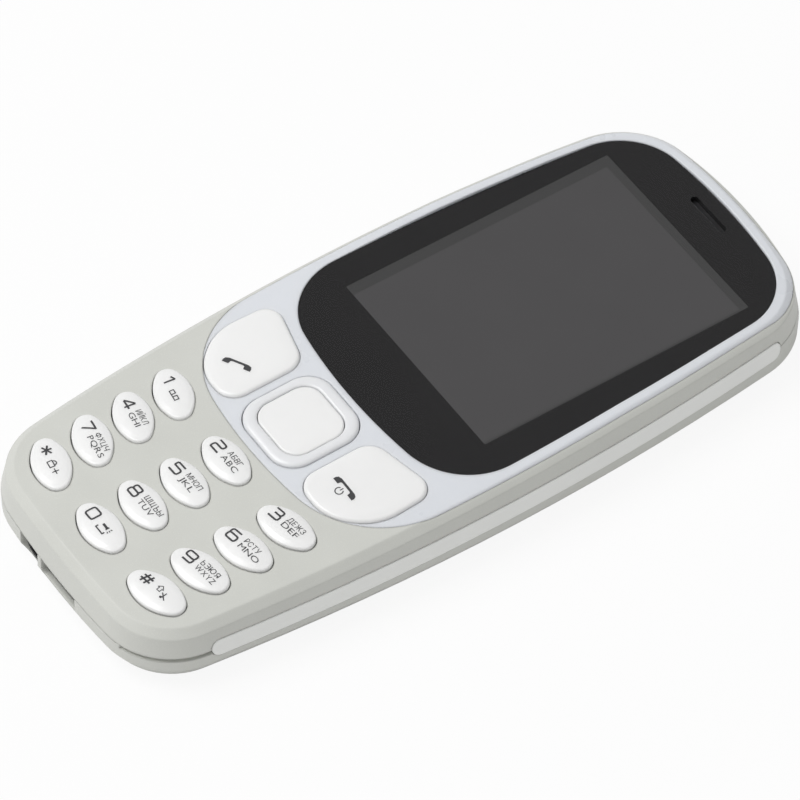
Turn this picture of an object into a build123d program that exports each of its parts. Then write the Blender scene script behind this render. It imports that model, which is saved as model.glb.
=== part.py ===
"""A bar feature phone: a crowned grey housing, a white panel round the display, and a lift-off rear cover.

The origin is at the bottom centre: the phone lies on its back, +Z is out of the front face,
+Y is towards the earpiece and +X is towards the right-hand side. All lengths are in millimetres.
"""

import math
import os

from build123d import *

# General allowances
overrun = 5.0
edge_gap = 0.05
fit_gap = 0.1
guide_gap = 0.25

# Case outline, seen from the front
case_half_width = 27.94
case_half_length = 63.66
case_waist_y = 2.1
case_side_radius = 445.0
case_top_radius = 79.7
case_bottom_radius = 165.8
case_top_corner = 13.5
case_bottom_corner = 12.2

# Case section: upright up to the belt, leaning in above it, and crowned on the front
belt_z = 6.8
wall_lean_share = 0.19
back_rounding = 5.8
front_rounding = 2.0
crown_radius = 324.0
crown_low_z = 12.19
crown_height = 2.59
crown_shares = [(-1.04, 0.0), (-0.71, 0.34), (0.35, 1.0), (0.66, 0.92), (1.04, 0.54)]

# Rounded edges are drawn as two bevels or one: shares of the radius on the end face and down the side
wide_bevel_shares = [(0.423, 0.732), (0.309, 0.309)]
bevel_shares = [(0.586, 0.586)]
flat_share = 0.97

# Round pieces out of sight are drawn with few sides, and the small ones in the back with more
few_sides = 8
fair_sides = 24

# Walls and the seam between the front housing and the rear cover, which rises towards the earpiece
cover_wall = 1.2
housing_wall = 1.4
deck_z = 10.85
seam_z = 7.76
seam_rise = 1.5
seam_gap = 0.1

# Light strips let into both sides along the seam
strip_length = 104.4
strip_height = 3.05
strip_centre_y = 0.5
strip_proud = 0.12
strip_depth = 1.15

# White front panel and the ledge that it is glued to
panel_half_width = 25.86
panel_top_y = 61.61
panel_bottom_y = -28.86
panel_waist_y = 2.97
panel_side_radius = 437.8
panel_top_radius = 253.5
panel_bottom_radius = 75.45
panel_top_corner = 10.94
panel_bottom_corner = 16.75
panel_seat_z = 11.4
panel_ledge = 1.2

# Display lens
lens_half_width = 24.05
lens_top_y = 59.72
lens_bottom_y = -10.67
lens_waist_y = 3.23
lens_side_radius = 461.9
lens_top_radius = 100.3
lens_bottom_radius = 86.6
lens_top_corner = 11.11
lens_bottom_corner = 12.2
lens_top_z = 13.38
lens_thick = 1.1
earpiece_slot_length = 8.4
earpiece_slot_width = 1.3
earpiece_top_gap = 3.12

# Display, behind the lens
view_width = 37.2
view_length = 49.25
view_centre_y = 25.92
display_width = 41.2
display_length = 57.4
display_driver_share = 0.7
display_z = 9.0
display_thick = 1.9
display_frame_wall = 0.5
gasket_border = 0.6
gasket_width = 1.2
gasket_corner = 2.0

# Main board
board_z = 7.0
board_thick = 0.8
board_margin = 3.1
boss_notch_gap = 0.5

# Inner frame, with the battery bay
frame_margin = 1.9
frame_wall = 1.0
frame_plate_thick = 0.6
frame_wall_low_z = 5.2
frame_wall_high_z = 8.4
bay_wall = 0.9
bay_floor_gap = 0.25

# Battery
battery_width = 34.0
battery_length = 53.0
battery_thick = 4.7
battery_centre_y = -2.0
battery_corner = 0.8
battery_gap = 0.3
battery_contact_width = 2.0
battery_contact_pitch = 3.0
battery_contact_depth = 0.3

# Frame screws and the housing bosses that they turn into
top_screw_side_gap = 7.74
top_screw_end_gap = 8.26
low_screw_side_gap = 5.54
low_screw_rise = 0.26
boss_radius = 1.75
screw_shank_radius = 0.7
screw_head_radius = 1.35
screw_head_height = 0.9
screw_length = 3.8

# Digit keys: three columns and four rows of tilted ovals
key_half_length = 5.08
key_half_width = 2.90
key_end_radius = 1.85
key_row_pitch = 7.44
key_first_row_y = -33.06
key_column_offset = 15.46
key_column_taper = 0.29
key_outer_lift = 0.58
key_lift_taper = 0.043
key_tilt_deg = 16.1
key_rows = 4
key_columns = (-1, 0, 1)
key_rise = 0.69
key_edge_radius = 0.5
key_gap = 0.22
key_travel = 0.35

# Call and end keys: petals that follow the panel's lower edge
petal_inner_x = 9.16
petal_low_y = -26.6
petal_width = 13.1
petal_length = 16.9
petal_shares = [(0.0, 0.0), (0.61, 0.0), (1.01, 0.355), (0.98, 1.0), (0.0, 0.81)]
petal_corners = (3.2, 8.0, 9.0, 2.8, 3.6)
petal_dome_x = 15.6
petal_dome_y = -18.4
petal_rise = 0.6
petal_stem_width = 4.4
petal_stem_length = 5.0

# Direction ring and the centre key
ring_centre_y = -19.6
ring_width = 14.5
ring_length = 15.1
ring_corner = 4.2
ring_hole_gap = 0.3
ring_foot_z = 11.0
ring_rise = 0.62
centre_width = 11.3
centre_length = 11.0
centre_corner = 3.1
centre_gap = 0.22
centre_rise = 0.75
pad_z = 10.3
pad_thick = 0.4
pad_border = 0.5
pad_ring_width = 0.8
pad_corner = 0.8

# Silicone key mat, dome sheet and domes
mat_z = 9.25
mat_thick = 0.7
mat_margin = 5.2
mat_display_gap = 3.79
mat_boss_gap = 0.4
plunger_radius = 1.1
plunger_gap = 0.08
dome_sheet_thick = 0.15
dome_radius = 2.0
dome_height = 0.25
dome_corners = 4
ring_dome_offset = 6.0

# Sockets in the bottom end
port_recess = 1.3
usb_x = 0.7
usb_width = 7.5
usb_height = 2.5
usb_depth = 5.6
usb_wall = 0.3
usb_tongue_thick = 0.6
usb_tongue_share = 0.55
usb_notch_width = 9.2
usb_notch_height = 3.0
usb_notch_corner = 1.0
jack_x = -7.5
jack_z = 4.9
jack_bore_radius = 1.75
jack_bore_length = 11.0
jack_body_width = 6.2
jack_body_length = 12.0
jack_nose_radius = 2.3
jack_nose_depth = 2.6
jack_notch_gap = 0.25

# Camera, torch and loudspeaker in the back
camera_end_gap = 13.66
camera_x = 0.0
camera_width = 6.6
camera_body_height = 3.2
camera_barrel_radius = 2.4
camera_barrel_gap = 0.25
camera_ring_radius = 3.6
camera_window_thick = 0.7
camera_window_depth = 0.2
camera_ring_width = 0.9
torch_x = 9.0
torch_radius = 1.5
torch_lens_depth = 0.25
torch_led_width = 2.6
torch_led_height = 0.9
speaker_width = 15.0
speaker_length = 11.0
speaker_thick = 3.6
speaker_x = -1.0
speaker_end_gap = 26.86
speaker_slot_length = 9.0
speaker_slot_width = 1.0
speaker_slot_pitch = 2.2
speaker_slot_count = 4
pocket_wall = 0.8

# Card holders behind the battery
sim_width = 13.6
sim_length = 13.0
sim_height = 1.5
sim_wall = 0.25
card_gap = 0.7
card_row_gap = 11.0
memory_width = 12.2
memory_length = 13.0
memory_height = 1.6

# Other parts on the board
can_wall = 0.2
can_height = 1.1
radio_can_width = 30.0
radio_can_length = 22.0
radio_can_y = 36.0
processor_can_width = 26.0
processor_can_length = 18.0
processor_can_y = 12.0
connector_width = 9.0
connector_length = 2.6
connector_height = 4.4
blade_thick = 0.4
blade_width = 1.0
microphone_radius = 2.0
microphone_height = 1.2
microphone_x = 8.0
microphone_end_gap = 6.66
motor_radius = 4.0
motor_thick = 2.6
motor_side_gap = 13.34
motor_end_gap = 13.66
receiver_width = 10.0
receiver_length = 3.6
mesh_border = 0.5
mesh_thick = 0.3
antenna_width = 9.0
antenna_length = 8.0
antenna_height = 2.6
antenna_side_gap = 13.44
antenna_end_gap = 11.06
antenna_slot = 0.8

# Cover details
rib_length = 4.0
rib_depth = 0.5
rib_low_z = 4.2
rib_height = 2.4
rib_side_shares = (-0.55, -0.1, 0.35)
pry_width = 9.0
pry_height = 0.6
pry_depth = 0.8
pry_centre_x = 20.6

side_signs = (-1, 1)


class Barrel:
    """An outline of two end arcs and two side arcs, joined by tangent corner arcs."""

    def __init__(self, half_width, top_y, bottom_y, waist_y, radii, corners):
        self.half_width = half_width
        self.top_y = top_y
        self.bottom_y = bottom_y
        self.waist_y = waist_y
        self.side_radius, self.top_radius, self.bottom_radius = radii
        self.top_corner, self.bottom_corner = corners

    def inset(self, depth):
        """The same outline drawn in by a depth, or let out by a negative one."""
        radii = (self.side_radius - depth, self.top_radius - depth, self.bottom_radius - depth)
        corners = (self.top_corner - depth, self.bottom_corner - depth)
        return Barrel(
            self.half_width - depth, self.top_y - depth, self.bottom_y + depth, self.waist_y, radii, corners
        )

    def corner(self, end_y, end_radius, radius, sign):
        """The right-hand corner arc at one end, as its start on the end arc, its middle and its end."""
        side_centre = Vector(self.half_width - self.side_radius, self.waist_y)
        end_centre = Vector(0, end_y - sign * end_radius)
        to_side = self.side_radius - radius
        to_end = end_radius - radius
        across = end_centre - side_centre
        along = (to_side**2 - to_end**2 + across.length**2) / (2 * across.length)
        off = math.sqrt(to_side**2 - along**2)
        square = Vector(-across.Y, across.X).normalized()
        centres = [side_centre + across.normalized() * along + square * off * way for way in side_signs]
        centre = max(centres, key=lambda point: point.X)
        on_end = centre + (centre - end_centre).normalized() * radius
        on_side = centre + (centre - side_centre).normalized() * radius
        middle = centre + (on_end + on_side - centre * 2).normalized() * radius
        return on_end, middle, on_side

    def points(self):
        """The ends and middles of the outline's arcs in turn, from one end of the outline round to it again."""
        top = self.corner(self.top_y, self.top_radius, self.top_corner, 1)
        bottom = self.corner(self.bottom_y, self.bottom_radius, self.bottom_corner, -1)
        right = [*top, Vector(self.half_width, self.waist_y), *reversed(bottom)]
        left = [Vector(-point.X, point.Y) for point in reversed(right)]
        return [*right, Vector(0, self.bottom_y), *left, Vector(0, self.top_y), right[0]]

    def face(self, z=0.0):
        """The flat face inside the outline, at a height."""
        ring = [Vector(point.X, point.Y, z) for point in self.points()]
        arcs = [Edge.make_three_point_arc(*ring[i : i + 3]) for i in range(0, len(ring) - 1, 2)]
        return Face(Wire(arcs))

    def straight_face(self):
        """The polygon through the outline's arcs, for pieces out of sight."""
        return Face(Wire(Polyline(*self.points()).edges()))


case = Barrel(
    case_half_width,
    case_half_length,
    -case_half_length,
    case_waist_y,
    (case_side_radius, case_top_radius, case_bottom_radius),
    (case_top_corner, case_bottom_corner),
)
panel_outline = Barrel(
    panel_half_width,
    panel_top_y,
    panel_bottom_y,
    panel_waist_y,
    (panel_side_radius, panel_top_radius, panel_bottom_radius),
    (panel_top_corner, panel_bottom_corner),
)
lens_outline = Barrel(
    lens_half_width,
    lens_top_y,
    lens_bottom_y,
    lens_waist_y,
    (lens_side_radius, lens_top_radius, lens_bottom_radius),
    (lens_top_corner, lens_bottom_corner),
)

crown_top_z = crown_low_z + crown_height
ceiling_z = crown_top_z + overrun
board_top_z = board_z + board_thick
lens_seat_z = lens_top_z - lens_thick
display_top_z = display_z + display_thick
seam_angle = math.degrees(math.atan2(seam_rise, 2 * case_half_length))
seam_plane = Plane((0, strip_centre_y, seam_z)).rotated((seam_angle, 0, 0))


def raised(face, low, high):
    """A flat shape lifted to a height and extruded up to another."""
    return extrude(Pos(0, 0, low) * face, high - low, dir=(0, 0, 1))


def block(width, length, low, high, x=0.0, y=0.0, corner=0.0):
    """An upright block, with rounded corners where a radius is given."""
    shape = RectangleRounded(width, length, corner) if corner else Rectangle(width, length)
    return raised(Pos(x, y) * shape, low, high)


def drum(radius, low, high, x=0.0, y=0.0, sides=few_sides):
    """An upright rod with flat sides."""
    return raised(Pos(x, y) * RegularPolygon(radius, sides), low, high)


def sunk(shape, seat, depth):
    """A flat shape laid on a seat and extruded down from it."""
    return extrude(seat * shape, depth, dir=-Plane(seat).z_dir)


def leaning(outline, low, high):
    """Walls that lean in with height from an outline."""
    lean_deg = math.degrees(math.atan(wall_lean_share))
    return extrude(outline.face(low), high - low, dir=(0, 0, 1), taper=lean_deg)


def front_form():
    """The space below the crowned front: arched slabs along the crown's profile, each cut by the others."""
    half_width = case_half_width + overrun
    drop = crown_radius - math.sqrt(crown_radius**2 - half_width**2)
    low_corners = [(half_width, drop), (half_width, ceiling_z), (-half_width, ceiling_z), (-half_width, drop)]
    arch = Edge.make_three_point_arc(low_corners[-1], (0, 0), low_corners[0])
    section = Face(Wire([arch, *Polyline(*low_corners).edges()]))
    profile = [
        Vector(0, share_y * case_half_length, crown_low_z + share_z * crown_height)
        for share_y, share_z in crown_shares
    ]
    form = None
    for start, end in zip(profile, profile[1:]):
        plane = Plane(start, x_dir=(1, 0, 0), z_dir=end - start)
        slab = extrude(plane * section, 3 * case_half_length, both=True)
        form = form & slab if form else slab
    return form


def walls(inset=0.0, low=0.0, high=ceiling_z):
    """The case walls without their roundings: upright to the belt and leaning in above it."""
    outline = case.inset(inset)
    return raised(outline.face(), low, belt_z) + leaning(outline, belt_z, high)


def bevelled(solid, radius, shares=bevel_shares, way=1):
    """A solid with the rim of its upper faces, or of its lower one for way -1, rounded in bevels."""
    for face_share, side_share in shares:
        flats = [face for face in solid.faces() if way * face.normal_at().Z > flat_share]
        edges = [edge for face in flats for edge in face.edges()]
        rim = [edge for edge in edges if sum(edge.is_same(other) for other in edges) == 1]
        host = flats[0] if len(flats) == 1 else None
        solid = solid.chamfer(face_share * radius, side_share * radius, rim, face=host)
    return solid


def envelope():
    """The outside of the closed case."""
    lower = bevelled(raised(case.face(), 0, belt_z), back_rounding, wide_bevel_shares, -1)
    return lower + bevelled(leaning(case, belt_z, ceiling_z) & front_form(), front_rounding)


def above_seam(shape):
    return split(shape, bisect_by=seam_plane, keep=Keep.TOP)


def below_seam(shape):
    return split(shape, bisect_by=seam_plane.offset(-seam_gap), keep=Keep.BOTTOM)


def strip_prism(sign, grown=0.0):
    """The long rounded slot of a side strip, standing across one side wall."""
    plane = Plane((case_half_width / 2, strip_centre_y, seam_z), x_dir=(0, 1, 0), z_dir=(1, 0, 0))
    slot = Rot(0, 0, seam_angle) * SlotOverall(strip_length + 2 * grown, strip_height + 2 * grown)
    prism = extrude(plane * slot, case_half_width)
    return prism if sign > 0 else mirror(prism, about=Plane.YZ)


def key_face(grown=0.0):
    """A digit key's oval: two end arcs and two side arcs, tangent where they meet."""
    end_x = key_half_length - key_end_radius
    squares = end_x**2 + key_half_width**2 - key_end_radius**2
    side_radius = squares / (2 * (key_half_width - key_end_radius))
    angle = math.atan2(side_radius - key_half_width, end_x)
    radius = key_end_radius + grown
    end = Vector(end_x + radius, 0)
    joint = Vector(end_x + radius * math.cos(angle), radius * math.sin(angle))
    side = Vector(0, key_half_width + grown)
    quarter = [end, joint, side]
    half = quarter + [Vector(-point.X, point.Y) for point in reversed(quarter[:2])]
    ring = half + [Vector(-point.X, -point.Y) for point in half[1:]] + [joint]
    return Face(Wire([Edge.make_three_point_arc(*ring[i : i + 3]) for i in range(1, len(ring) - 2, 2)]))


def key_seat(row, column, rise=0.0):
    """Where a digit key lies on the crown, with its tilt. Column 0 is the middle one."""
    x = column * (key_column_offset - key_column_taper * row)
    lift = abs(column) * (key_outer_lift - key_lift_taper * row)
    return crown_seat(x, key_first_row_y - key_row_pitch * row + lift, rise) * Rot(0, 0, column * key_tilt_deg)


def petal_face(sign, grown=0.0):
    """The outline of the call or end key about its dome, a petal that follows the panel's lower sweep."""
    points = [
        (
            petal_inner_x + share_x * petal_width - petal_dome_x,
            petal_low_y + share_y * petal_length - petal_dome_y,
        )
        for share_x, share_y in petal_shares
    ]
    ring = FilletPolyline(*points, radius=list(petal_corners), close=True)
    shape = make_face(ring)
    if grown:
        shape = offset(shape, grown)
    return shape if sign > 0 else mirror(shape, about=Plane.YZ)


def crown_height_at(y):
    """Height of the crown over the middle line: the lowest of its straight stretches, each carried on."""
    share_y = y / case_half_length
    stretches = zip(crown_shares, crown_shares[1:])
    heights = [
        low_z + (high_z - low_z) * (share_y - low_y) / (high_y - low_y)
        for (low_y, low_z), (high_y, high_z) in stretches
    ]
    return crown_low_z + crown_height * min(heights)


def crown_seat(x, y, rise=0.0):
    """A place on the crown over a point of the plan, raised by a height, with its Z square to the surface."""
    slope = (crown_height_at(y + overrun) - crown_height_at(y - overrun)) / (2 * overrun)
    drop = crown_radius - math.sqrt(crown_radius**2 - x**2)
    normal = (x / crown_radius, -slope, 1)
    plane = Plane((x, y, crown_height_at(y) - drop), x_dir=(1, 0, 0), z_dir=normal)
    return plane.location * Pos(0, 0, rise)


def key_block(shape, seat, low):
    """A key's block: a shape sunk from its seat down to a level foot."""
    return split(sunk(shape, seat, ceiling_z), bisect_by=Plane.XY.offset(low), keep=Keep.TOP)


def both_sides(place):
    """The two mirror-image places of one place on the right-hand side."""
    return [(sign * place[0], place[1]) for sign in side_signs]


screw_places = [
    (case_half_width - top_screw_side_gap, case_half_length - top_screw_end_gap),
    (case_half_width - low_screw_side_gap, panel_bottom_y + low_screw_rise),
]
boss_centres = [point for place in screw_places for point in both_sides(place)]
camera_y = case_half_length - camera_end_gap
speaker_y = case_half_length - speaker_end_gap
motor_x = motor_side_gap - case_half_width
motor_y = case_half_length - motor_end_gap
microphone_y = microphone_end_gap - case_half_length
antenna_x = case_half_width - antenna_side_gap
antenna_y = antenna_end_gap - case_half_length
card_row_y = battery_centre_y - battery_length / 2 - card_row_gap
sim_x = (memory_width + sim_width) / 2 + card_gap
earpiece_y = lens_top_y - earpiece_top_gap
ring_place = Pos(0, ring_centre_y)
petal_foot_z = panel_seat_z + key_travel + fit_gap
dome_centres = [
    key_seat(row, column).position for row in range(key_rows) for column in key_columns
]
dome_centres += [Vector(sign * petal_dome_x, petal_dome_y) for sign in side_signs]
dome_centres += [Vector(sign * ring_dome_offset, ring_centre_y) for sign in side_signs]
dome_centres += [Vector(0, ring_centre_y + sign * ring_dome_offset) for sign in side_signs]
dome_centres += [Vector(0, ring_centre_y)]
key_foot_z = mat_z + mat_thick + key_travel + edge_gap
dome_taper_deg = math.degrees(math.atan(dome_radius / 2 / dome_height))
dome_top_z = board_top_z + dome_sheet_thick + dome_height
battery_z = cover_wall + bay_floor_gap
battery_end_y = battery_centre_y + battery_length / 2
frame_plate_z = board_z - frame_plate_thick
end_y = -case_half_length
port_face_y = end_y + port_recess
camera_window_z = camera_window_depth
camera_window_radius = camera_ring_radius - camera_ring_width
gasket_width_across = view_width + 2 * (gasket_border + gasket_width)
gasket_length = view_length + 2 * (gasket_border + gasket_width)
connector_y = battery_end_y + battery_gap + connector_length / 2
screw_seat_z = frame_plate_z
screw_tip_z = screw_seat_z + screw_length
display_centre_y = view_centre_y + (1 - 2 * display_driver_share) * (display_length - view_length) / 2
mat_top_y = display_centre_y - display_length / 2 - mat_display_gap


def rear_cover():
    """The lift-off back: a rounded tray with camera, torch and loudspeaker openings."""
    inside = raised(case.inset(cover_wall).face(), cover_wall, ceiling_z)
    inside = bevelled(inside, back_rounding - cover_wall, way=-1)
    tray = below_seam(envelope() - inside)
    ribs = walls(cover_wall / 2, rib_low_z) - walls(cover_wall + rib_depth, rib_low_z)
    for sign in side_signs:
        for share in rib_side_shares:
            x = sign * case_half_width
            place_y = case_waist_y + share * case_half_length
            reach = case_half_width / 2
            keeper = block(reach, rib_length, rib_low_z, rib_low_z + rib_height, x, place_y)
            tray += ribs & keeper
        tray -= strip_prism(sign, fit_gap)
    tray -= drum(camera_ring_radius + edge_gap, -overrun, belt_z, camera_x, camera_y, fair_sides)
    tray -= drum(torch_radius + edge_gap, -overrun, belt_z, torch_x, camera_y, fair_sides)
    for i in range(speaker_slot_count):
        slot_y = speaker_y + (i - (speaker_slot_count - 1) / 2) * speaker_slot_pitch
        tray -= block(speaker_slot_length, speaker_slot_width, -overrun, belt_z, speaker_x, slot_y)
    tray -= port_notches()
    lip = walls(-overrun, seam_z - seam_rise) - walls(pry_depth, seam_z - seam_rise)
    wedge = below_seam(block(pry_width, case_half_width, 0, ceiling_z, pry_centre_x, end_y))
    wedge = wedge - Pos(0, 0, -pry_height) * wedge
    return tray - (lip & wedge)


def port_notches():
    """The two notches that the bottom sockets show through, open upward at the seam."""
    depth = jack_body_length
    upright = Plane.XZ.offset(case_half_length + overrun)
    usb_low_z = board_z - usb_height - (usb_notch_height - usb_height)
    usb_high = ceiling_z - usb_low_z
    usb = RectangleRounded(usb_notch_width, 2 * usb_high, usb_notch_corner)
    usb_place = upright * Pos(usb_x, usb_low_z + usb_high)
    width = 2 * (jack_nose_radius + jack_notch_gap)
    jack = Circle(width / 2) + Rectangle(width, ceiling_z, align=(Align.CENTER, Align.MIN))
    jack_place = upright * Pos(jack_x, jack_z)
    return extrude(usb_place * usb, -depth) + extrude(jack_place * jack, -depth)


def front_housing():
    """The grey front shell: crowned, with tilted oval key openings, the panel's seat and screw bosses."""
    shell = envelope() - walls(housing_wall, 0, deck_z)
    shell -= raised(panel_outline.inset(panel_ledge).straight_face(), 0, ceiling_z)
    for x, y in boss_centres:
        shell += drum(boss_radius, board_z, deck_z, x, y)
    shell = above_seam(shell)
    shell -= raised(panel_outline.inset(-edge_gap).face(), panel_seat_z, ceiling_z)
    for row in range(key_rows):
        for column in key_columns:
            shell -= sunk(key_face(key_gap), key_seat(row, column, overrun), ceiling_z)
    for x, y in boss_centres:
        shell -= drum(screw_shank_radius + edge_gap, 0, screw_tip_z + fit_gap, x, y)
    for sign in side_signs:
        shell -= strip_prism(sign, fit_gap)
    return shell


def front_panel():
    """The white panel: it frames the lens and has the openings of the navigation keys."""
    panel = envelope() & raised(panel_outline.face(), panel_seat_z, ceiling_z)
    panel -= raised(lens_outline.inset(-edge_gap).face(), lens_seat_z, ceiling_z)
    width = gasket_width_across + 2 * guide_gap
    panel -= block(width, gasket_length + 2 * guide_gap, 0, ceiling_z, 0, view_centre_y)
    width = receiver_width + 2 * guide_gap
    panel -= block(width, receiver_length + 2 * guide_gap, 0, ceiling_z, 0, earpiece_y)
    for sign in side_signs:
        panel -= sunk(petal_face(sign, key_gap), petal_seat(sign, overrun), ceiling_z)
    hole = RectangleRounded(
        ring_width + 2 * ring_hole_gap, ring_length + 2 * ring_hole_gap, ring_corner + ring_hole_gap
    )
    return panel - sunk(hole, crown_seat(0, ring_centre_y, overrun), ceiling_z)


def display_lens():
    """The clear window, with the earpiece slot."""
    slot = Pos(0, earpiece_y) * SlotOverall(earpiece_slot_length, earpiece_slot_width)
    return raised(lens_outline.face(), lens_seat_z, lens_top_z) - raised(slot, 0, ceiling_z)


def side_strip(sign):
    """A light strip set into one side of the case, along the seam."""
    band = walls(-strip_proud) - walls(strip_depth)
    return band & strip_prism(sign)


def display_gasket():
    """The foam frame that seals the display to the lens."""
    ring = chamfer(Rectangle(gasket_width_across, gasket_length).vertices(), gasket_corner)
    ring -= Rectangle(view_width + 2 * gasket_border, view_length + 2 * gasket_border)
    return raised(Pos(0, view_centre_y) * ring, display_top_z, lens_seat_z)


def display_frame():
    """The display's metal tray."""
    tray = block(display_width, display_length, display_z, display_top_z, 0, display_centre_y)
    return tray - display_glass()


def display_glass():
    """The display's glass stack, which fills its tray."""
    width = display_width - 2 * display_frame_wall
    length = display_length - 2 * display_frame_wall
    low = display_z + display_frame_wall
    return block(width, length, low, display_top_z, 0, display_centre_y)


def main_board():
    """The circuit board, notched round the screw bosses."""
    board = raised(case.inset(board_margin).straight_face(), board_z, board_top_z)
    for x, y in boss_centres:
        board -= drum(boss_radius + boss_notch_gap, 0, ceiling_z, x, y)
    return board


def mid_frame():
    """The inner frame: a plate with the battery bay below it and a rim round the board."""
    outline = case.inset(frame_margin)
    frame = raised(outline.straight_face(), frame_wall_low_z, frame_wall_high_z)
    frame -= raised(outline.inset(frame_wall).straight_face(), 0, ceiling_z)
    frame += raised(outline.inset(frame_wall / 2).straight_face(), frame_plate_z, board_z)
    bay_width = battery_width + 2 * battery_gap
    bay_length = battery_length + 2 * battery_gap
    bay = Rectangle(bay_width + 2 * bay_wall, bay_length + 2 * bay_wall) - Rectangle(bay_width, bay_length)
    frame += raised(Pos(0, battery_centre_y) * bay, battery_z, frame_plate_z)
    pocket_width = speaker_width + 2 * fit_gap
    pocket_length = speaker_length + 2 * fit_gap
    pocket = Rectangle(pocket_width + 2 * pocket_wall, pocket_length + 2 * pocket_wall)
    pocket -= Rectangle(pocket_width, pocket_length)
    frame += raised(Pos(speaker_x, speaker_y) * pocket, frame_plate_z - speaker_thick, frame_plate_z)
    for x, y in boss_centres:
        frame -= drum(boss_radius + fit_gap, board_z, ceiling_z, x, y)
        frame -= drum(screw_shank_radius + fit_gap, 0, ceiling_z, x, y)
        frame -= drum(screw_head_radius + fit_gap, 0, screw_seat_z, x, y)
    ports_left = jack_x - jack_body_width / 2 - guide_gap
    ports_right = microphone_x + microphone_radius + guide_gap
    ports_width = ports_right - ports_left
    ports_y = port_face_y - port_recess
    ports_length = jack_body_length + jack_nose_depth + port_recess
    ports = Rectangle(ports_width, ports_length, align=(Align.MIN, Align.MIN))
    frame -= raised(Pos(ports_left, ports_y) * ports, 0, board_z + fit_gap)
    cards_width = 2 * sim_x + sim_width + 2 * guide_gap
    frame -= block(cards_width, sim_length + 2 * guide_gap, 0, board_z, 0, card_row_y)
    plug_length = connector_length + 2 * battery_gap
    frame -= block(connector_width + 2 * guide_gap, plug_length, 0, board_z, 0, connector_y)
    frame -= block(camera_width + 2 * guide_gap, camera_width + 2 * guide_gap, 0, board_z, camera_x, camera_y)
    led = torch_led_width + 2 * guide_gap
    return frame - block(led, led, 0, board_z, torch_x, camera_y)


def frame_screws():
    """The screws, turned up through the inner frame into the housing's bosses."""
    screws = [
        drum(screw_head_radius, screw_seat_z - screw_head_height, screw_seat_z, x, y)
        + drum(screw_shank_radius, screw_seat_z, screw_tip_z, x, y)
        for x, y in boss_centres
    ]
    return Part() + screws


def shield_can(width, length, y):
    """A pressed metal lid over part of the board, open below."""
    top_z = board_top_z + can_height
    can = block(width, length, board_top_z, top_z, 0, y)
    return can - block(width - 2 * can_wall, length - 2 * can_wall, board_top_z, top_z - can_wall, 0, y)


def mat_sheet(low, high):
    """A sheet over the board's key field, cut out round the screw bosses."""
    sheet = raised(case.inset(mat_margin).straight_face(), low, high)
    sheet -= block(2 * case_half_width, 2 * case_half_length, low, high, 0, mat_top_y + case_half_length)
    for x, y in boss_centres:
        sheet -= drum(boss_radius + mat_boss_gap, low, high, x, y)
    return sheet


def key_mat():
    """The silicone mat under the keys, with a plunger over each dome."""
    mat = mat_sheet(mat_z, mat_z + mat_thick)
    width = 2 * plunger_radius
    for centre in dome_centres:
        mat += block(width, width, dome_top_z + plunger_gap, mat_z, centre.X, centre.Y)
    return mat


def dome_sheet():
    """The film with a snap dome under every key."""
    low = board_top_z + dome_sheet_thick
    sheet = mat_sheet(board_top_z, low)
    dome = extrude(RegularPolygon(dome_radius, dome_corners), dome_height, taper=dome_taper_deg)
    for centre in dome_centres:
        sheet += Pos(centre.X, centre.Y, low) * dome
    return sheet


def digit_key(row, column):
    """An oval key whose top lies along the crowned front."""
    return key_block(key_face(), key_seat(row, column, key_rise), key_foot_z)


def petal_seat(sign, rise):
    return crown_seat(sign * petal_dome_x, petal_dome_y, rise)


def petal_key(sign):
    """The call or end key, with a stem that reaches down past the panel's seat."""
    cap = bevelled(key_block(petal_face(sign), petal_seat(sign, petal_rise), petal_foot_z), key_edge_radius)
    x = sign * petal_dome_x
    return cap + block(petal_stem_width, petal_stem_length, key_foot_z, petal_foot_z, x, petal_dome_y)


def centre_key():
    """The confirm key in the middle of the direction ring."""
    face = RectangleRounded(centre_width, centre_length, centre_corner)
    return bevelled(key_block(face, crown_seat(0, ring_centre_y, centre_rise), key_foot_z), key_edge_radius)


def direction_ring():
    """The rounded ring that rocks up, down, left and right."""
    face = RectangleRounded(ring_width, ring_length, ring_corner)
    seat = crown_seat(0, ring_centre_y, ring_rise)
    hole = RectangleRounded(
        centre_width + 2 * centre_gap, centre_length + 2 * centre_gap, centre_corner + centre_gap
    )
    return bevelled(key_block(face, seat, ring_foot_z), key_edge_radius) - sunk(hole, seat, ceiling_z)


def rocker_pad():
    """The silicone frame that the direction ring rocks on."""
    outer = Rectangle(ring_width - 2 * pad_border, ring_length - 2 * pad_border)
    inner_cut = pad_border + pad_ring_width
    inner = Rectangle(ring_width - 2 * inner_cut, ring_length - 2 * inner_cut)
    return raised(ring_place * (chamfer(outer.vertices(), pad_corner) - inner), pad_z, pad_z + pad_thick)


def usb_socket():
    """The charging socket: a thin metal shell with its contact tongue."""
    low = board_z - usb_height
    upright = Plane.XZ.offset(-port_face_y) * Pos(usb_x, low + usb_height / 2)
    outer = Rectangle(usb_width, usb_height)
    outer = chamfer(outer.vertices().group_by(Axis.Y)[0], usb_height / 3)
    inner = offset(outer, -usb_wall)
    shell = extrude(upright * outer, -usb_depth) - extrude(upright * inner, usb_wall - usb_depth)
    tongue = Rectangle(usb_width * usb_tongue_share, usb_tongue_thick)
    return shell + extrude(upright * tongue, -usb_depth) - extrude(upright * tongue, -usb_wall)


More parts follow.
